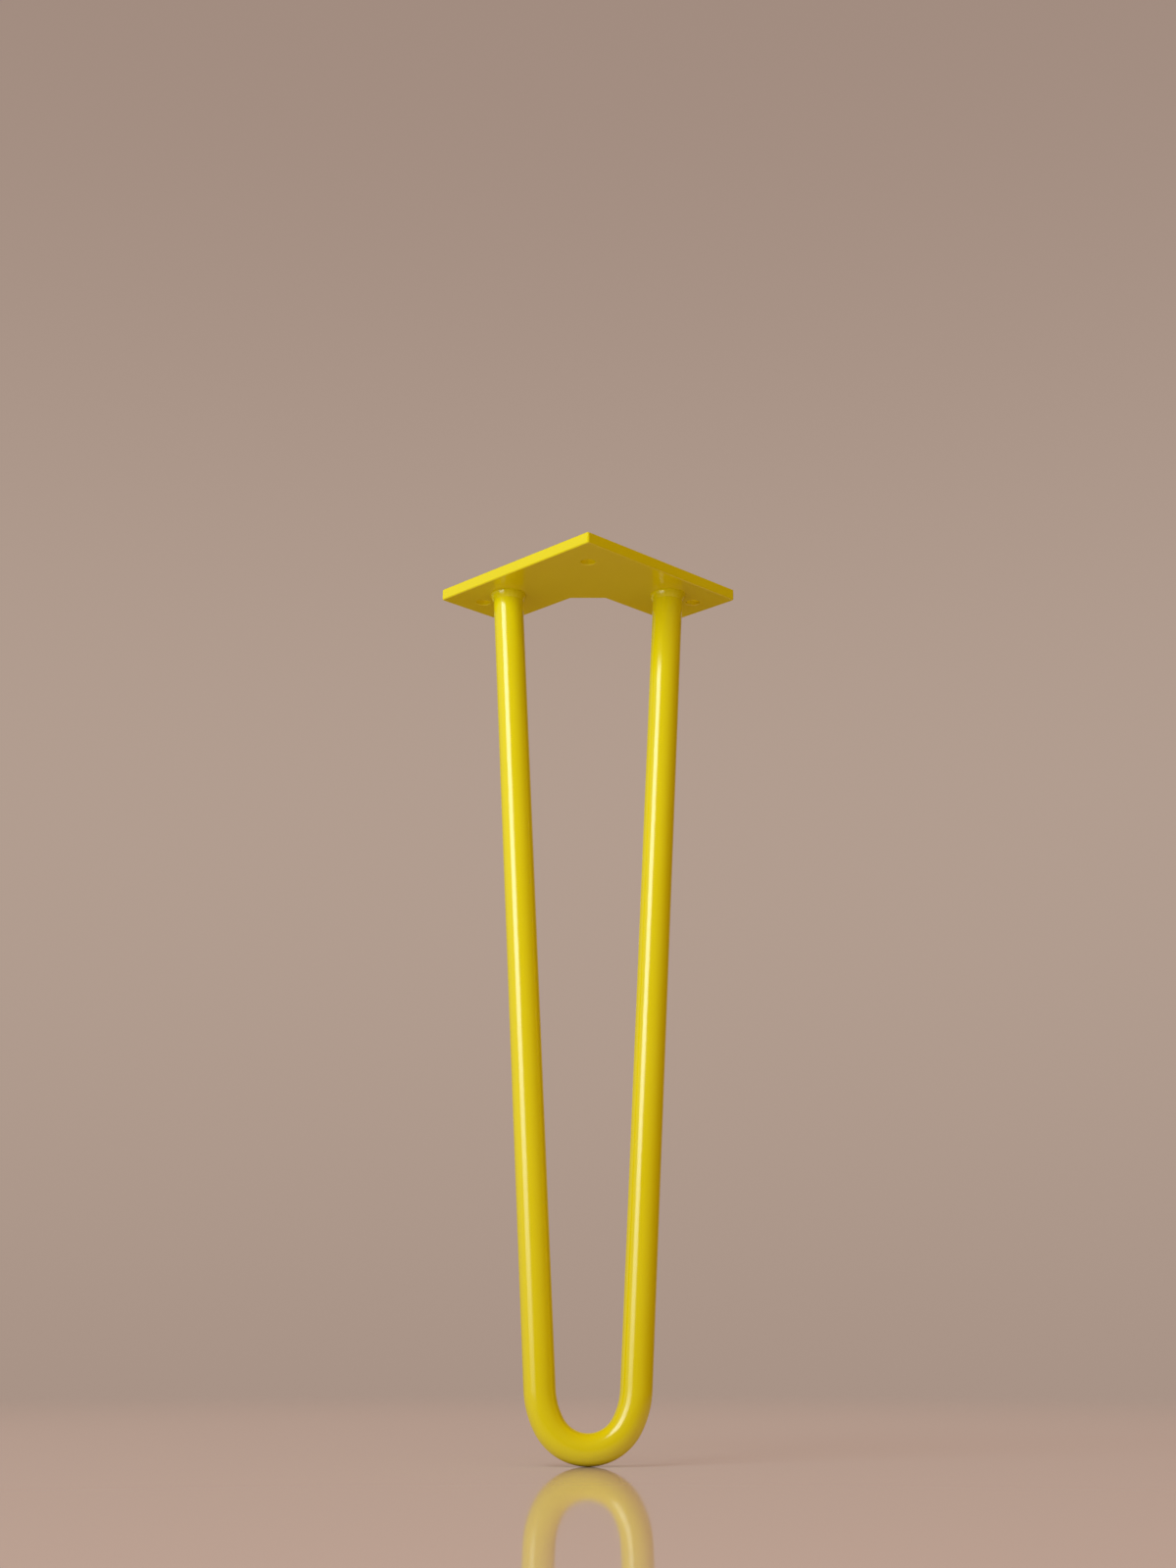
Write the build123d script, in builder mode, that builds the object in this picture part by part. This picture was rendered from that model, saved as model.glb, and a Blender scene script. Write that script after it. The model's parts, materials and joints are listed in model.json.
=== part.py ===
"""Hairpin table leg: a bent round bar welded under a flat L-shaped plate.

The origin lies on the plate's top face, midway between the bar's two ends.
+Z points up into the table, -Y towards the plate's outer corner, and X across the hairpin.
"""
import os
from math import acos, atan2, cos, degrees, hypot, pi, radians, sin, sqrt, tan

from build123d import *

# Whole leg
leg_height = 350.0
lean_angle = 6.0

# Top plate
plate_side = 85.0
plate_thickness = 4.5
arm_width = 36.0
inner_chamfer = 10.0
plate_corner_radius = 1.0
plate_edge_radius = 0.5

# Screw holes, measured from the plate's outer edges and from the arm's end
hole_diameter = 5.5
hole_edge_inset = 14.0
hole_end_inset = 10.0

# Hairpin bar, its ends measured like the screw holes
bar_diameter = 12.0
bar_edge_inset = 15.5
bar_end_inset = 23.5

# Foot bend of the bar's centre line: tight at the bottom, then easing into each straight leg
bend_radius = 16.0
bend_half_turn = 62.0
ease_radius = 31.0

# Weld beads, measured along the plate and down the bar
weld_width = 1.4
weld_depth = 2.0
weld_lip = 0.25
weld_rings = 4

# Places of the bar's ends, worked out from the insets
bar_radius = bar_diameter / 2
bar_along_arm = plate_side - bar_end_inset
half_spacing = (bar_along_arm - bar_edge_inset) / sqrt(2)
corner_distance = (bar_along_arm + bar_edge_inset) / sqrt(2)
underside = -plate_thickness

# Hairpin in its own leaning plane, with the plane's origin between the bar's ends
lean = radians(lean_angle)
foot_drop = (leg_height - plate_thickness - bar_radius) / cos(lean)
bend_y = bend_radius - foot_drop
ease_x = (bend_radius - ease_radius) * sin(radians(bend_half_turn))
ease_y = bend_y - (bend_radius - ease_radius) * cos(radians(bend_half_turn))

# Each straight leg is the tangent from the bar's end to the easing arc
end_reach = hypot(half_spacing - ease_x, ease_y)
tangent_turn = degrees(atan2(-ease_y, half_spacing - ease_x) - acos(ease_radius / end_reach))
tangent_x = ease_x + ease_radius * cos(radians(tangent_turn))
tangent_y = ease_y + ease_radius * sin(radians(tangent_turn))
taper = (half_spacing - tangent_x) / -tangent_y
bend_start = 270 - bend_half_turn
ease_turn = 90 - bend_half_turn + tangent_turn

# Each leg of the bar starts above the plate's underside and is then cut flush with it
spare_length = plate_thickness + bar_diameter
start_x = half_spacing + spare_length * taper
start_y = spare_length

hairpin_plane = Plane(
    origin=(0, 0, underside),
    x_dir=(1, 0, 0),
    z_dir=(0, -cos(lean), sin(lean)),
)
plate_plane = Plane(
    origin=(0, -corner_distance, underside),
    x_dir=(1, 1, 0),
    z_dir=(0, 0, 1),
)

os.makedirs("parts", exist_ok=True)

# Top plate: an L with a chamfered inner corner, drilled for three screws
with BuildPart() as top_plate:
    with BuildSketch(plate_plane):
        with BuildLine():
            Polyline(
                (0, 0),
                (plate_side, 0),
                (plate_side, arm_width),
                (arm_width + inner_chamfer, arm_width),
                (arm_width, arm_width + inner_chamfer),
                (arm_width, plate_side),
                (0, plate_side),
                close=True,
            )
        make_face()
    extrude(amount=plate_thickness)
    fillet(top_plate.edges().filter_by(Axis.Z), radius=plate_corner_radius)
    fillet(top_plate.edges().filter_by(Axis.Z, reverse=True), radius=plate_edge_radius)
    with BuildSketch(plate_plane):
        with Locations(
            (hole_edge_inset, hole_edge_inset),
            (plate_side - hole_end_inset, hole_edge_inset),
            (hole_edge_inset, plate_side - hole_end_inset),
        ):
            Circle(hole_diameter / 2)
    extrude(amount=plate_thickness, mode=Mode.SUBTRACT)

# Bar before its ends are cut: down one leg, round the foot and up the other
with BuildPart() as bar_blank:
    with BuildLine(hairpin_plane) as hairpin_line:
        Line((-start_x, start_y), (-tangent_x, tangent_y))
        CenterArc((-ease_x, ease_y), ease_radius, start_angle=bend_start - ease_turn, arc_size=ease_turn)
        CenterArc((0, bend_y), bend_radius, start_angle=bend_start, arc_size=2 * bend_half_turn)
        CenterArc((ease_x, ease_y), ease_radius, start_angle=bend_half_turn - 90, arc_size=ease_turn)
        Line((tangent_x, tangent_y), (start_x, start_y))
    with BuildSketch(Plane(origin=hairpin_line.line @ 0, z_dir=hairpin_line.line % 0)):
        Circle(bar_radius)
    sweep()

# Hairpin bar: both ends cut to sit flat against the plate
with BuildPart() as hairpin_bar:
    add(bar_blank)
    split(bisect_by=Plane.XY.offset(underside), keep=Keep.BOTTOM)


def weld_bead(side):
    """Bead round one bar end: rounded rings that follow the leaning bar, with the bar's own shape taken out."""
    with BuildPart() as bead:
        for ring in range(weld_rings):
            turn = pi / 2 * ring / (weld_rings - 1)
            depth = weld_depth * sin(turn)
            ring_radius = bar_radius + weld_lip + (weld_width - weld_lip) * cos(turn)
            ring_x = side * (half_spacing - taper * depth / cos(lean))
            ring_y = -depth * tan(lean)
            with BuildSketch(Plane.XY.offset(underside - depth)):
                with Locations((ring_x, ring_y)):
                    Circle(ring_radius)
        loft(ruled=True)
        add(bar_blank, mode=Mode.SUBTRACT)
    return bead.part


left_weld = weld_bead(-1)
right_weld = weld_bead(1)

top_plate.part.label = "top_plate"
hairpin_bar.part.label = "hairpin_bar"
left_weld.label = "left_weld"
right_weld.label = "right_weld"

export_step(top_plate.part, "parts/top_plate.step")
export_step(hairpin_bar.part, "parts/hairpin_bar.step")
export_step(left_weld, "parts/left_weld.step")
export_step(right_weld, "parts/right_weld.step")
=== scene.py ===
# %% [markdown]
# A hairpin table leg is about as simple as furniture gets: one round bar bent into a narrow V,
# welded under a flat L-shaped plate, and the whole baked under one colour of powder coat.
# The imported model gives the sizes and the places. It is loaded first and never moved, and every piece
# that is made below stands exactly where one of its nodes stands.

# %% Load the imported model
import json
from math import acos, atan2, cos, hypot, pi, radians, sin, sqrt, tan

import bpy
import numpy as np
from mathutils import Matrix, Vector
from mathutils.geometry import delaunay_2d_cdt


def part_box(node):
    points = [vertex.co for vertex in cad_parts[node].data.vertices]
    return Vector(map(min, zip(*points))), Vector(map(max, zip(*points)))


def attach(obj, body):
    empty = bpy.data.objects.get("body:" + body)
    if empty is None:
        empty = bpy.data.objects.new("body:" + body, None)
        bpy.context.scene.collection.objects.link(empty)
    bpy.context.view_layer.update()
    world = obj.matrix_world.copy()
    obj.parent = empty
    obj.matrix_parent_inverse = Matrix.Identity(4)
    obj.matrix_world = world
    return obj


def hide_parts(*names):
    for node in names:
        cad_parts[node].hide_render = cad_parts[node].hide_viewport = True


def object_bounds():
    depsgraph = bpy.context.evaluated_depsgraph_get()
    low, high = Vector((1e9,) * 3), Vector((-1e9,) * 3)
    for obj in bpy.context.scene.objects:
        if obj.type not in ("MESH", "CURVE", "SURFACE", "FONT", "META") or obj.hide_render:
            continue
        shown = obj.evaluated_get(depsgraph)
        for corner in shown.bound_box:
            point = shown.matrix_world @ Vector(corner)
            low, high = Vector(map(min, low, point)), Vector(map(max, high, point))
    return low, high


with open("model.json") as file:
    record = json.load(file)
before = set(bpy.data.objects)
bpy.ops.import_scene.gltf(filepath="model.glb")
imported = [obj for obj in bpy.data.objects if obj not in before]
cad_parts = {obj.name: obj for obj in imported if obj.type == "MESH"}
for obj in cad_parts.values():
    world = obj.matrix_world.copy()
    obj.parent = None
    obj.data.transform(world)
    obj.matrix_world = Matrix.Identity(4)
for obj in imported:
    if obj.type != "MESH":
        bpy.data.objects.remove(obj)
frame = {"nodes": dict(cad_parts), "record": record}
cad_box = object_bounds()
floor_level = cad_box[0].z
plate_top = cad_box[1].z
print("nodes:", sorted(frame["nodes"]), "standing on", round(floor_level, 4))

# %% [markdown]
# The camera comes before the shapes, because every comparison depends on it. It stands low, a few
# centimetres above the floor, and looks up along the leg, so that the underside of the plate shows.
# Tilting a camera makes upright lines lean towards each other. A lens shift raises the picture without
# tilting, so a little of both is used: a small tilt, and a shift that still keeps the whole leg in
# the frame when the camera is carried round to the sides.

# %% Camera
camera_height = 0.045
camera_distance = 0.7748
camera_tilt = radians(8.964)
camera_lens = 45.736
camera_shift = 0.155
sensor_width = 36.0

camera = bpy.data.objects.new("camera", bpy.data.cameras.new("camera"))
camera.data.sensor_width = sensor_width
camera.data.lens = camera_lens
camera.data.shift_y = camera_shift
camera.location = (0, -camera_distance, floor_level + camera_height)
camera.rotation_euler = (pi / 2 + camera_tilt, 0, 0)
bpy.context.scene.collection.objects.link(camera)
bpy.context.scene.camera = camera
bpy.context.scene.view_settings.view_transform = "Standard"
print("camera at", tuple(round(value, 3) for value in camera.location), "lens", camera_lens)

# %% [markdown]
# Blender keeps a material as a graph of nodes. Wiring sums by hand takes many lines, so one small class
# wraps an output socket and lets it be written like a number: 1 - mask adds one Math node and returns
# its output, wrapped again. Every other node comes from the class's one method, which sets the node's
# settings first, because some of them change which sockets the node has.


# %% Shader sockets written as numbers
class Shade:
    """One output socket of a node tree, used like a number; without a socket, the bare tree."""

    def __init__(self, tree, socket=None):
        self.tree = tree
        self.socket = socket

    def node(self, kind, settings, sockets, output=None):
        """Adds a node: first its settings, then the values or links of its sockets, by name or by place."""
        made = self.tree.nodes.new(kind)
        for name, value in settings.items():
            setattr(made, name, value)
        inputs = {socket.name: socket for socket in made.inputs if socket.enabled}
        for name, value in sockets.items():
            target = made.inputs[name] if isinstance(name, int) else inputs[name]
            if isinstance(value, Shade):
                self.tree.links.new(value.socket, target)
            else:
                target.default_value = value
        outputs = {socket.name: socket for socket in made.outputs if socket.enabled}
        return Shade(self.tree, outputs[output] if output else None)

    def maths(self, operation, first, second):
        """Adds a Math node for two numbers or sockets."""
        return self.node("ShaderNodeMath", {"operation": operation}, {0: first, 1: second}, "Value")

    def __add__(self, other):
        return self.maths("ADD", self, other)

    def __radd__(self, other):
        return self.maths("ADD", other, self)

    def __sub__(self, other):
        return self.maths("SUBTRACT", self, other)

    def __rsub__(self, other):
        return self.maths("SUBTRACT", other, self)

    def __mul__(self, other):
        return self.maths("MULTIPLY", self, other)

    def __rmul__(self, other):
        return self.maths("MULTIPLY", other, self)


def new_material(name):
    """An empty material and its bare tree."""
    material = bpy.data.materials.new(name)
    material.use_nodes = True
    material.node_tree.nodes.clear()
    return material, Shade(material.node_tree)


# %% [markdown]
# Meshes go in as whole arrays. A surface is a grid of points with two parameters, so its faces are the
# same for every shape: each point, its neighbour in the next row, and the two beside them.
# A grid that closes on itself, such as a ring, simply counts its columns round.
# The volume inside each piece is printed. It is the sum, over all triangles, of the little pyramids between
# each triangle and the origin, and it only matches the real piece when every face points outwards.


# %% Faces of a grid
def grid_faces(rows, columns, close_rows=False):
    """Four-sided faces of a grid whose columns close into a ring, and whose rows may close too."""
    row = np.arange(rows if close_rows else rows - 1)[:, None]
    column = np.arange(columns)[None, :]
    here = row * columns
    below = (row + 1) % rows * columns
    beside = (column + 1) % columns
    faces = np.stack([here + column, below + column, below + beside, here + beside], axis=-1)
    return faces.reshape(-1, 4).tolist()


# %% Points made into meshes
sharp_angle = radians(40)


def new_mesh_object(name, points, faces, material, normals=None):
    """A smooth mesh of points and faces. Where no normals are given, edges over sharp_angle are sharp."""
    mesh = bpy.data.meshes.new(name)
    mesh.from_pydata(points.tolist(), [], faces)
    mesh.polygons.foreach_set("use_smooth", np.ones(len(faces), dtype=bool))
    if normals is None:
        mesh.set_sharp_from_angle(angle=sharp_angle)
    else:
        mesh.normals_split_custom_set_from_vertices(normals.tolist())
    mesh.materials.append(material)
    made = bpy.data.objects.new(name, mesh)
    bpy.context.scene.collection.objects.link(made)
    print(name, "has", len(points), "points and", len(faces), "faces")
    return made


# %% Pieces that stand for nodes
cm3_per_m3 = 1e6
leg_pieces = []


def volume_inside(mesh):
    """Sum of a . (b x c) / 6 over the triangles a, b, c of a mesh."""
    mesh.calc_loop_triangles()
    places = np.empty(3 * len(mesh.vertices), dtype=np.float32)
    numbers = np.empty(3 * len(mesh.loop_triangles), dtype=np.int32)
    mesh.vertices.foreach_get("co", places)
    mesh.loop_triangles.foreach_get("vertices", numbers)
    first, second, third = places.reshape(-1, 3)[numbers.reshape(-1, 3).T]
    return np.sum(first * np.cross(second, third)) / 6


def dress_node(piece, node):
    """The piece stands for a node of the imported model, with its finish, and joins the leg's pieces."""
    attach(piece, "root")
    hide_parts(node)
    leg_pieces.append(piece)
    print(node, "is dressed with", round(volume_inside(piece.data) * cm3_per_m3, 3), "cm3")


# %% [markdown]
# Powder coat is plastic dust, melted onto the steel into one thick glossy skin. Two things tell it from
# paint out of a can: the skin is never quite flat, but has the fine waves called orange peel, and its
# gloss changes a little from place to place with the thickness.
# Both are made from noise that reads the object's own coordinates, in metres, so the waves keep their
# real size on every piece. The colour moves only slightly between two yellows.

# %% Noise on the coat
patch_scale = 30.0
patch_detail = 3.0
wave_scale = 170.0
peel_scale = 620.0
wave_detail = 1.0

powder_coat, coat = new_material("yellow_powder_coat")
on_coat = coat.node("ShaderNodeTexCoord", {}, {}, "Object")


def coat_noise(scale, detail):
    """Soft noise from 0 to 1 on the object's coordinates. The scale counts its cells to a metre."""
    return coat.node("ShaderNodeTexNoise", {}, {"Vector": on_coat, "Scale": scale, "Detail": detail}, "Fac")


patches = coat_noise(patch_scale, patch_detail)
waves = coat_noise(wave_scale, wave_detail)
peel = coat_noise(peel_scale, wave_detail)
print("patches of", round(1 / patch_scale, 4), "m and peel of", round(1 / peel_scale, 4), "m")

# %% Yellow powder coat
thin_yellow = (0.82, 0.730, 0.002, 1.0)
thick_yellow = (0.78, 0.690, 0.001, 1.0)
coat_ior = 1.65
coat_roughness = 0.16
patch_roughness = 0.10
peel_roughness = 0.06
noise_middle = 0.5
wave_share = 2.0
peel_height = 0.000003

colour = coat.node(
    "ShaderNodeMix",
    {"data_type": "RGBA"},
    {"Factor": patches, "A": thick_yellow, "B": thin_yellow},
    "Result",
)
patchy_gloss = patch_roughness * (patches - noise_middle)
fine_gloss = peel_roughness * (peel - noise_middle)
bump = coat.node(
    "ShaderNodeBump",
    {},
    {"Strength": 1.0, "Distance": peel_height, "Height": wave_share * waves + peel},
    "Normal",
)
skin = coat.node(
    "ShaderNodeBsdfPrincipled",
    {},
    {
        "Base Color": colour,
        "Roughness": coat_roughness + patchy_gloss + fine_gloss,
        "Normal": bump,
        "IOR": coat_ior,
    },
    "BSDF",
)
coat.node("ShaderNodeOutputMaterial", {}, {"Surface": skin})
print("powder coat uses", len(powder_coat.node_tree.nodes), "nodes")

# %% [markdown]
# The hairpin is one bar that a bender wraps round a former. The bend is not one clean arc: the bottom is
# tight, and the bar eases out of it on a larger radius before each leg runs straight.
# A curve object with a bevel could draw this, but the two radii would then be handles to nudge.
# Here the centre line is a formula. Its heading turns steadily through the foot, and the radius is the
# tight one near the bottom and the easing one beyond, so the line stays smooth where they meet.

# %% Sizes of the plate and the bar
plate_side = 0.085
bar_edge_inset = 0.0155
bar_end_inset = 0.0235
bar_radius = 0.006
lean = radians(6)

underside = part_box("top_plate")[0].z
bar_along_arm = plate_side - bar_end_inset
half_spacing = (bar_along_arm - bar_edge_inset) / sqrt(2)
corner_distance = (bar_along_arm + bar_edge_inset) / sqrt(2)
foot_drop = (underside - floor_level - bar_radius) / cos(lean)
print("bar ends", round(2 * half_spacing, 4), "apart, foot", round(foot_drop, 4), "below the plate")

# %% Where the legs leave the bend
bend_radius = 0.016
bend_half_turn = radians(62)
ease_radius = 0.031

# Each leg is the tangent from the bar's end to the easing arc. The arc's radius and the reach from its
# centre to the bar's end are two sides of a right-angled triangle, which gives the turn of the leg.
bend_height = bend_radius - foot_drop
ease_across = (bend_radius - ease_radius) * sin(bend_half_turn)
ease_height = bend_height - (bend_radius - ease_radius) * cos(bend_half_turn)
end_reach = hypot(half_spacing - ease_across, ease_height)
leg_turn = pi / 2 + atan2(-ease_height, half_spacing - ease_across) - acos(ease_radius / end_reach)
leave_across = ease_across + ease_radius * sin(leg_turn)
leave_height = ease_height - ease_radius * cos(leg_turn)
print("each leg leaves the bend", round(leave_height + foot_drop, 4), "above the foot's centre line")

# %% Centre line of the foot
foot_steps = 168

foot_turn = np.linspace(-leg_turn, leg_turn, foot_steps + 1)
tight = np.abs(foot_turn) <= bend_half_turn
centre_across = np.where(tight, 0.0, np.sign(foot_turn) * ease_across)
centre_height = np.where(tight, bend_height, ease_height)
turn_radius = np.where(tight, bend_radius, ease_radius)
foot_across = centre_across + turn_radius * np.sin(foot_turn)
foot_height = centre_height - turn_radius * np.cos(foot_turn)
print("foot of", len(foot_across), "points is", round(2 * float(foot_across.max()), 4), "m wide")

# %% Centre line of the bar
leg_steps = 48

down_leg = np.linspace(0, 1, leg_steps, endpoint=False)
down_across = half_spacing + (leave_across - half_spacing) * down_leg
down_height = leave_height * down_leg
across = np.concatenate([-down_across, foot_across, down_across[::-1]])
height = np.concatenate([down_height, foot_height, down_height[::-1]])
heading = np.concatenate([np.full(leg_steps, -leg_turn), foot_turn, np.full(leg_steps, leg_turn)])
bar_length = np.hypot(np.diff(across), np.diff(height)).sum()
print("centre line of", len(across), "points is", round(float(bar_length), 4), "m long")


# %% Bar round the centre line
def lean_vector(over, up):
    """A direction in the hairpin's own plane, turned to where that plane leans under the plate: what goes up
    in the plane goes back by the sine of the lean and up by its cosine."""
    return np.stack([over, up * sin(lean), up * cos(lean)], axis=-1)


def bar_surface(steps_round):
    """Circles square to the centre line: centre + radius * (cos spin * outward + sin spin * sideways), where
    outward points away from the bend and sideways out of the hairpin's plane. The first and last circles
    slide along the leg to the underside."""
    spin = np.linspace(0, 2 * pi, steps_round, endpoint=False)[None, :, None]
    centres = lean_vector(across, height) + [0, 0, underside]
    outward = lean_vector(np.sin(heading), -np.cos(heading))
    forward = lean_vector(np.cos(heading), np.sin(heading))
    sideways = np.array([0, -cos(lean), sin(lean)])
    rings = centres[:, None] + bar_radius * (np.cos(spin) * outward[:, None] + np.sin(spin) * sideways)
    for end in (0, -1):
        slide = (underside - rings[end, :, 2]) / forward[end, 2]
        rings[end] += slide[:, None] * forward[end]
    return rings


bar_steps_round = 128
bar_rings = bar_surface(bar_steps_round)
first_ring = np.arange(bar_steps_round)
last_ring = first_ring + (len(bar_rings) - 1) * bar_steps_round
bar_faces = grid_faces(len(bar_rings), bar_steps_round)
bar_faces += [first_ring.tolist(), last_ring[::-1].tolist()]
coated_bar = new_mesh_object("coated_bar", bar_rings.reshape(-1, 3), bar_faces, powder_coat)
dress_node(coated_bar, "hairpin_bar")

# %% [markdown]
# The plate is cut from flat steel, so its corners are nearly square, and the coat draws back from each
# edge and leaves it softly round. A Bevel modifier would do that, but it also bends the shading of the
# large flat faces next to it.
# So the rim is a profile carried round the outline: a quarter round, the flat side, a quarter round.
# The same profile runs round the screw holes. Every point knows its true normal, and the flat faces
# between the rims are filled with triangles and stay perfectly flat.

# %% Outline of the plate
arm_width = 0.036
inner_chamfer = 0.010
corner_radius = 0.001
corner_steps = 9

plate_corners = np.array([
    (0, 0),
    (plate_side, 0),
    (plate_side, arm_width),
    (arm_width + inner_chamfer, arm_width),
    (arm_width, arm_width + inner_chamfer),
    (arm_width, plate_side),
    (0, plate_side),
])


def rounded_outline(corners, radius, steps):
    """Points and outward normals of an outline whose corners are arcs: centre + radius * normal, with the
    normal turning from one side to the next. At a hollow corner the turn and the radius are negative."""
    side_in = corners - np.roll(corners, 1, axis=0)
    side_out = np.roll(corners, -1, axis=0) - corners
    heading_in = np.arctan2(side_in[:, 1], side_in[:, 0])
    heading_out = np.arctan2(side_out[:, 1], side_out[:, 0])
    corner_turn = (heading_out - heading_in + pi) % (2 * pi) - pi
    angle = heading_in[:, None] - pi / 2 + corner_turn[:, None] * np.linspace(0, 1, steps)
    normals = np.stack([np.cos(angle), np.sin(angle)], axis=-1)
    signed = np.sign(corner_turn) * radius
    reach = signed / (1 + np.sum(normals[:, 0] * normals[:, -1], axis=-1))
    centres = corners - reach[:, None] * (normals[:, 0] + normals[:, -1])
    points = centres[:, None] + signed[:, None, None] * normals
    return points.reshape(-1, 2), normals.reshape(-1, 2)


along_arms = np.array([[1, 1], [-1, 1]]) / sqrt(2)
arm_points, arm_normals = rounded_outline(plate_corners, corner_radius, corner_steps)
plate_outline = arm_points @ along_arms - [0, corner_distance]
plate_normals = arm_normals @ along_arms
print("outline of", len(plate_outline), "points, reaching", plate_outline.max(axis=0).round(4))

# %% Outlines of the screw holes
mm_per_m = 1000
hole_steps = 64

mounts = {mount["name"]: mount for mount in frame["record"]["mounts"]}
hole_radius = mounts["corner_hole"]["dims"]["r_mm"] / mm_per_m
half_pitch = mounts["arm_holes"]["dims"]["spacing_x_mm"] / (2 * mm_per_m)
arm_row = mounts["arm_holes"]["pos_m"][1]
hole_centres = [mounts["corner_hole"]["pos_m"][:2], (-half_pitch, arm_row), (half_pitch, arm_row)]

hole_angle = -np.linspace(0, 2 * pi, hole_steps, endpoint=False)
hole_spokes = np.stack([np.cos(hole_angle), np.sin(hole_angle)], axis=-1)
print("holes of", 2 * hole_radius, "m at", hole_centres)


# %% Rims of the plate and its holes
def rim_band(outline, normals, edge_radius, steps):
    """Rows of points from the top face over the edge to the underside. The tilt of the surface runs from up
    to sideways to down; each row is the outline drawn in by radius * (1 - cos tilt), at its level."""
    tilt = np.concatenate([np.linspace(pi / 2, 0, steps), np.linspace(0, -pi / 2, steps)])[:, None, None]
    level = np.where(np.arange(2 * steps) < steps, plate_top - edge_radius, underside + edge_radius)
    flat = outline - edge_radius * (1 - np.cos(tilt)) * normals
    upright = np.broadcast_to(level[:, None, None] + edge_radius * np.sin(tilt), flat.shape[:2] + (1,))
    upward = np.broadcast_to(np.sin(tilt), upright.shape)
    band_points = np.concatenate([flat, upright], axis=-1)
    band_normals = np.concatenate([np.cos(tilt) * normals, upward], axis=-1)
    return band_points, band_normals


rim_steps = 8
plate_edge_radius = 0.0006
hole_edge_radius = 0.0005

bands = [rim_band(plate_outline, plate_normals, plate_edge_radius, rim_steps)]
for centre in hole_centres:
    hole_outline = np.array(centre) + hole_radius * hole_spokes
    bands.append(rim_band(hole_outline, -hole_spokes, hole_edge_radius, rim_steps))
print("rims of", [points.shape[1] for points, normals in bands], "points round")

# %% Flat faces between the rims
inside_loops = 1
merge_distance = 1e-9


def fill_between(points, loops):
    """Triangles between the first loop of point numbers and the loops inside it, anticlockwise from above.
    A triangle with all its corners on one inner loop lies in a hole, and is left out."""
    numbers = np.concatenate(loops)
    loop_of = np.repeat(np.arange(len(loops)), [len(loop) for loop in loops])
    first = np.concatenate([[0], np.cumsum([len(loop) for loop in loops])])
    stretches = [np.arange(start, stop) for start, stop in zip(first, first[1:])]
    edges = np.concatenate([np.stack([run, np.roll(run, -1)], axis=-1) for run in stretches])
    flat = [Vector(point) for point in points[numbers, :2].tolist()]
    triangles, sources = delaunay_2d_cdt(flat, edges.tolist(), [], inside_loops, merge_distance)[2:4]
    origins = np.array([source[0] for source in sources])
    corners = origins[np.array(triangles)]
    in_hole = (loop_of[corners].min(axis=1) == loop_of[corners].max(axis=1)) & (loop_of[corners[:, 0]] > 0)
    return numbers[corners[~in_hole]]


plate_points = np.concatenate([points.reshape(-1, 3) for points, normals in bands])
plate_point_normals = np.concatenate([normals.reshape(-1, 3) for points, normals in bands])
starts = np.cumsum([0] + [points.shape[0] * points.shape[1] for points, normals in bands])
top_loops = [start + np.arange(points.shape[1]) for start, (points, normals) in zip(starts, bands)]
low_loops = [loop + (2 * rim_steps - 1) * len(loop) for loop in top_loops]
top_faces = fill_between(plate_points, top_loops)
low_faces = fill_between(plate_points, low_loops)[:, ::-1]
print("flat faces of", len(top_faces), "and", len(low_faces), "triangles")

# %% Plate
plate_faces = []
for start, (points, normals) in zip(starts, bands):
    plate_faces += (np.array(grid_faces(points.shape[0], points.shape[1])) + start).tolist()
plate_faces += top_faces.tolist()
plate_faces += low_faces.tolist()
coated_plate = new_mesh_object("coated_plate", plate_points, plate_faces, powder_coat, plate_point_normals)
dress_node(coated_plate, "top_plate")

# %% [markdown]
# A bead of weld runs round each end of the bar. Under the coat it is a small smooth collar, full and round,
# and its ripples are almost filled.
# A torus would stand off the bar, which leans. Instead a profile is carried round the bar: a curve between
# a cone and a parabola, upright where it leaves the plate and slanting in to the bar lower down. Each row
# goes round the point where the leaning bar is at that depth, and the ripples are a cosine round the ring.

# %% Weld beads
weld_width = 0.0013
weld_depth = 0.0030
weld_curve = 1.5
weld_sink = 0.00006
ripple_count = 23
ripple_share = 0.03
weld_steps_round = 138
weld_steps_over = 16
closing_rows = 2


def weld_surface(side):
    """Rows from the plate down the bar: at a share of the depth, radius = bar + width * (1 - share^curve).
    Two more rows inside the bar close the ring."""
    spin = np.linspace(0, 2 * pi, weld_steps_round, endpoint=False)
    share = np.linspace(0, 1, weld_steps_over)
    ripple = 1 - ripple_share * (1 + np.cos(ripple_count * spin)) / 2
    inner = bar_radius - weld_sink
    reach = inner + (weld_width + weld_sink) * np.outer(1 - share**weld_curve, ripple)
    depth = weld_depth * np.outer(share, ripple)
    reach = np.concatenate([reach, np.full((closing_rows, weld_steps_round), inner - weld_sink)])
    depth = np.concatenate([depth, depth[-1:], 0 * depth[-1:]])
    taper = 1 / tan(leg_turn)
    x = side * (half_spacing - taper * depth / cos(lean)) + reach * np.cos(spin)
    y = -depth * tan(lean) + reach * np.sin(spin)
    return np.stack([x, y, underside - depth], axis=-1).reshape(-1, 3)


weld_faces = grid_faces(weld_steps_over + closing_rows, weld_steps_round, close_rows=True)
for side, node in ((-1, "left_weld"), (1, "right_weld")):
    coated_weld = new_mesh_object("coated_" + node, weld_surface(side), weld_faces, powder_coat)
    dress_node(coated_weld, node)

# %% [markdown]
# The leg stands on a plain pale floor that is polished, so the foot has a clear image under it.
# One flat disc is enough. Far from the leg it thins out into nothing, where a Mix Shader swaps its finish
# for a Transparent one, so there is no hard horizon from any side, and beyond it lies the world's colour.

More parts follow.
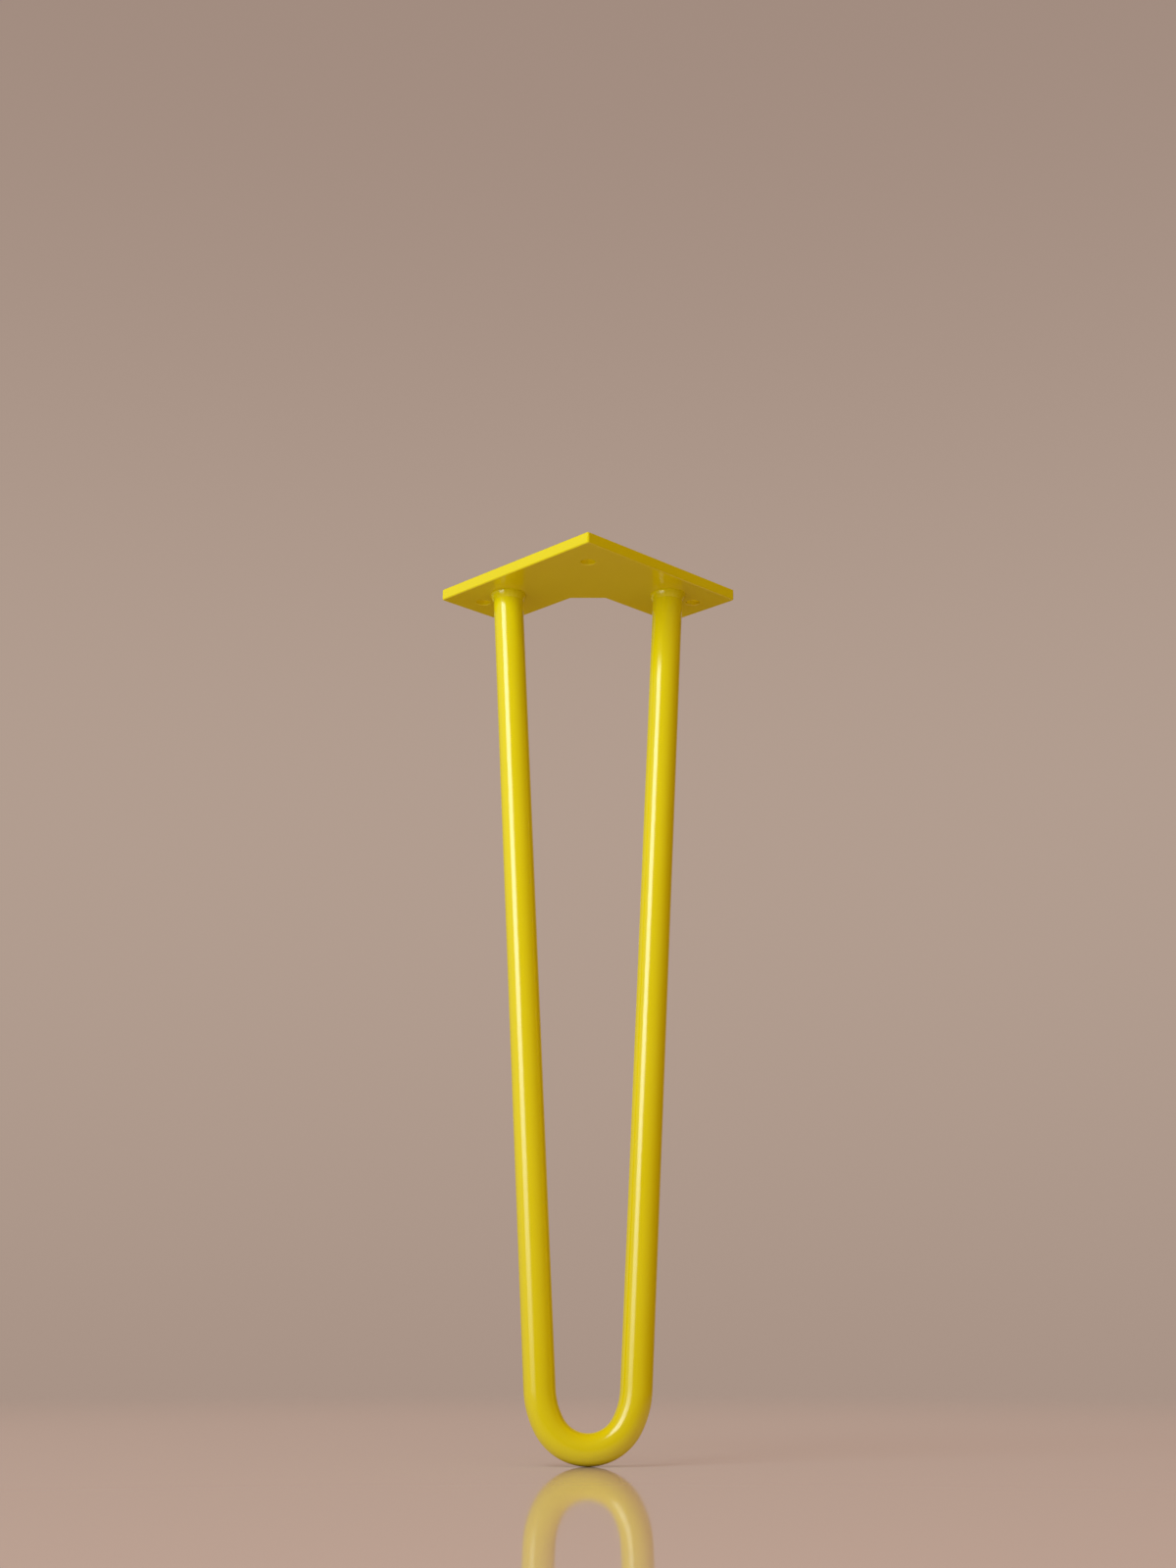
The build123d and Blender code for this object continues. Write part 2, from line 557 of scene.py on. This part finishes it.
# %% Finish of the floor
floor_colour = (0.70, 0.640, 0.60, 1.0)
floor_roughness = 0.06
floor_ior = 1.4
fade_start = 0.30
fade_end = 1.05
no_height = (1, 1, 0)

floor_finish, ground = new_material("pale_floor")
on_floor = ground.node("ShaderNodeTexCoord", {}, {}, "Object")
plan = ground.node("ShaderNodeVectorMath", {"operation": "MULTIPLY"}, {0: on_floor, 1: no_height}, "Vector")
distance = ground.node("ShaderNodeVectorMath", {"operation": "LENGTH"}, {0: plan}, "Value")
fade = ground.node(
    "ShaderNodeMapRange",
    {"interpolation_type": "SMOOTHSTEP"},
    {"Value": distance, "From Min": fade_start, "From Max": fade_end},
    "Result",
)
polish = ground.node(
    "ShaderNodeBsdfPrincipled",
    {},
    {"Base Color": floor_colour, "Roughness": floor_roughness, "IOR": floor_ior},
    "BSDF",
)
nothing = ground.node("ShaderNodeBsdfTransparent", {}, {}, "BSDF")
surface = ground.node("ShaderNodeMixShader", {}, {0: fade, 1: polish, 2: nothing}, "Shader")
ground.node("ShaderNodeOutputMaterial", {}, {"Surface": surface})
print("floor fades out from", fade_start, "to", fade_end, "m")

# %% Pale floor
floor_radius = 1.1
floor_steps = 96

floor_angle = np.linspace(0, 2 * pi, floor_steps, endpoint=False)
floor_ring = np.stack([np.cos(floor_angle), np.sin(floor_angle), 0 * floor_angle], axis=-1) * floor_radius
floor = new_mesh_object("floor", floor_ring + [0, 0, floor_level], [list(range(floor_steps))], floor_finish)

# %% [markdown]
# The world's colour is asked for by three kinds of ray. The camera sees one pale backdrop on every side,
# with a soft band that glows a little more, well above the floor.
# A glossy ray sees that backdrop only where it hangs, behind the leg. On the left it sees a pale wall, and
# everywhere else a dim warm studio, because a coat that mirrors a dark room keeps its full colour.
# All other rays gather the fill light, which is warm, and comes mostly from the front and from above.

# %% Directions and colours of the world
world = bpy.data.worlds.new("studio")
world.use_nodes = True
world.node_tree.nodes.clear()
bpy.context.scene.world = world
sky = Shade(world.node_tree)
look = sky.node("ShaderNodeTexCoord", {}, {}, "Generated")
look_across = sky.node("ShaderNodeSeparateXYZ", {}, {"Vector": look}, "X")
look_back = sky.node("ShaderNodeSeparateXYZ", {}, {"Vector": look}, "Y")
look_up = sky.node("ShaderNodeSeparateXYZ", {}, {"Vector": look}, "Z")
print("world named", world.name, "reads its direction through", len(world.node_tree.nodes), "nodes")


def ramp(value, start, stop, shape):
    """A number that climbs from 0 at the start to 1 at the stop, in a straight line or a smooth step."""
    limits = {"Value": value, "From Min": start, "From Max": stop}
    return sky.node("ShaderNodeMapRange", {"interpolation_type": shape}, limits, "Result")


def blend(kind, factor, first, second):
    """Two colours of the world, mixed or added by a factor."""
    colours = {"Factor": factor, "A": first, "B": second}
    return sky.node("ShaderNodeMix", {"data_type": "RGBA", "blend_type": kind}, colours, "Result")


# %% Fill light
base_fill = (0.15, 0.04, 0.02, 1.0)
front_fill = (0.60, 0.51, 0.43, 1.0)
top_fill = (0.52, 0.29, 0.20, 1.0)

front_light = blend("MIX", ramp(look_back, 0.0, -1.0, "LINEAR"), base_fill, front_fill)
fill_colour = blend("ADD", ramp(look_up, 0.0, 1.0, "LINEAR"), front_light, top_fill)
print("fill light from the front", front_fill[:3], "and from above", top_fill[:3])

# %% Backdrop
backdrop_glow = (0.445, 0.338, 0.278, 1.0)
backdrop_dusk = (0.36, 0.262, 0.215, 1.0)
glow_low = -0.25
glow_middle = 0.26
glow_high = 0.62

glow_up = ramp(look_up, glow_low, glow_middle, "SMOOTHSTEP")
glow_down = 1 - ramp(look_up, glow_middle, glow_high, "SMOOTHSTEP")
backdrop_colour = blend("MIX", glow_up * glow_down, backdrop_dusk, backdrop_glow)
print("backdrop from", backdrop_dusk[:3], "to", backdrop_glow[:3])

# %% What the coat mirrors
studio_colour = (0.06, 0.030, 0.004, 1.0)
wall_colour = (0.48, 0.44, 0.40, 1.0)
wall_edge = -0.55
wall_middle = -0.90
backdrop_edge = 0.60
backdrop_middle = 0.95
below_horizon = -0.12

at_backdrop = ramp(look_back, backdrop_edge, backdrop_middle, "SMOOTHSTEP")
at_wall = ramp(look_across, wall_edge, wall_middle, "SMOOTHSTEP")
above_floor = ramp(look_up, below_horizon, 0.0, "SMOOTHSTEP")
room_colour = blend("MIX", at_wall * above_floor, studio_colour, wall_colour)
gloss_colour = blend("MIX", at_backdrop * above_floor, room_colour, backdrop_colour)
print("the coat mirrors a wall", wall_colour[:3], "in a studio", studio_colour[:3])

# %% World for each kind of ray
seen_by_camera = sky.node("ShaderNodeLightPath", {}, {}, "Is Camera Ray")
seen_in_gloss = sky.node("ShaderNodeLightPath", {}, {}, "Is Glossy Ray")
seen_through = sky.node("ShaderNodeLightPath", {}, {}, "Is Transmission Ray")
unseen_colour = blend("MIX", seen_in_gloss, fill_colour, gloss_colour)
sky_colour = blend("MIX", seen_by_camera + seen_through, unseen_colour, backdrop_colour)
sky_glow = sky.node("ShaderNodeBackground", {}, {"Color": sky_colour}, "Background")
sky.node("ShaderNodeOutputWorld", {}, {"Surface": sky_glow})
print("world uses", len(world.node_tree.nodes), "nodes")

# %% [markdown]
# Flat lamps do the rest, as in a small product studio, all of one colour. Two settings keep them apart.
# Light linking makes a lamp light the pieces of one collection and nothing else. And a lamp that is hidden
# from glossy rays still lights a piece, but no polished face mirrors it as a hard white shape.

# %% Lamps that light chosen pieces
lamp_colour = (0.88, 1.0, 1.0)


def new_lamp(name, width, height, watts):
    """A flat lamp of the width and the height, in the colour that all the lamps share."""
    lamp = bpy.data.lights.new(name, "AREA")
    lamp.shape = "RECTANGLE"
    lamp.size = width
    lamp.size_y = height
    lamp.energy = watts
    lamp.color = lamp_colour
    return lamp


def hang_lamp(name, lamp, place, rotation, pieces, in_gloss):
    """Hangs the lamp, links it to the pieces that it lights, and shows it in gloss or hides it there."""
    hung = bpy.data.objects.new(name, lamp)
    hung.location = place
    hung.rotation_euler = rotation
    hung.visible_glossy = in_gloss
    lit = bpy.data.collections.new("lit_by_" + name)
    for piece in pieces:
        lit.objects.link(piece)
    hung.light_linking.receiver_collection = lit
    bpy.context.scene.collection.objects.link(hung)
    where = tuple(round(value, 2) for value in hung.location)
    print(name, "at", where, "lights", [piece.name for piece in pieces])


# %% [markdown]
# The main lamp is a tall soft box. It stands upright to the left of the camera, close to the leg, so the
# left face of the plate is bright, the right face is in shade, and each leg carries one long highlight a
# little left of its middle.
# The highlight dies away towards the foot, because a soft box is dimmer at its lower end. A plain area
# light is the same all over, so here its brightness follows the height on the light itself.
# The round pieces mirror the box as that highlight. The flat plate would mirror all of it at once, so the
# plate has a twin of the box, the same lamp at the same place, that is hidden from glossy rays.

# %% Cloth of the soft box
box_low = -0.30
box_high = 0.46
box_width = 0.38
box_watts = 5.1
dim_share = 0.507

box_lamp = new_lamp("soft_box", box_width, box_high - box_low, box_watts)
box_lamp.use_nodes = True
box_lamp.node_tree.nodes.clear()
cloth = Shade(box_lamp.node_tree)
on_box = cloth.node("ShaderNodeNewGeometry", {}, {}, "Parametric")
up_box = cloth.node("ShaderNodeSeparateXYZ", {}, {"Vector": on_box}, "Y")
shine = cloth.node(
    "ShaderNodeMapRange",
    {"interpolation_type": "LINEAR"},
    {"Value": up_box, "From Max": dim_share},
    "Result",
)
box_glow = cloth.node("ShaderNodeEmission", {}, {"Strength": shine}, "Emission")
cloth.node("ShaderNodeOutputLight", {}, {"Surface": box_glow})
print("soft box of", box_width, "by", round(box_high - box_low, 2), "m")

# %% Tall soft box and its twin
left_of_camera = radians(45)
box_distance = 0.70

box_place = (
    -box_distance * sin(left_of_camera),
    -box_distance * cos(left_of_camera),
    (box_low + box_high) / 2,
)
box_rotation = (pi / 2, 0, -left_of_camera)
round_pieces = [piece for piece in leg_pieces if piece != coated_plate]
hang_lamp("soft_box", box_lamp, box_place, box_rotation, round_pieces, in_gloss=True)
hang_lamp("plate_box", box_lamp, box_place, box_rotation, [coated_plate], in_gloss=False)

# %% [markdown]
# From behind, the leg would stand in its own shade. A second soft box stands there, almost straight behind
# the leg, so that it lights the far side alone. It is hidden from glossy rays, because seen from the front
# it would draw a white edge along each bar.

# %% Soft box behind
behind_turn = radians(20)
behind_distance = 1.00
behind_width = 0.25
behind_height = 0.60
behind_watts = 2.5

behind_place = (-behind_distance * sin(behind_turn), behind_distance * cos(behind_turn), 0)
behind_rotation = (pi / 2, 0, pi + behind_turn)
behind_lamp = new_lamp("back_box", behind_width, behind_height, behind_watts)
hang_lamp("back_box", behind_lamp, behind_place, behind_rotation, leg_pieces, in_gloss=False)

# %% [markdown]
# The floor gets a lamp of its own, linked to the floor alone. It hangs high above the soft box, so that the
# floor is lit evenly and the leg's shadow falls on it to the right.

# %% Lamp for the floor
floor_lamp_distance = 0.80
floor_lamp_height = 1.60
floor_lamp_width = 0.70
floor_lamp_watts = 9.5

floor_lamp_place = (
    -floor_lamp_distance * sin(left_of_camera),
    -floor_lamp_distance * cos(left_of_camera),
    floor_level + floor_lamp_height,
)
floor_lamp_rotation = (atan2(floor_lamp_distance, floor_lamp_height), 0, -left_of_camera)
floor_lamp = new_lamp("floor_lamp", floor_lamp_width, floor_lamp_width, floor_lamp_watts)
hang_lamp("floor_lamp", floor_lamp, floor_lamp_place, floor_lamp_rotation, [floor], in_gloss=False)
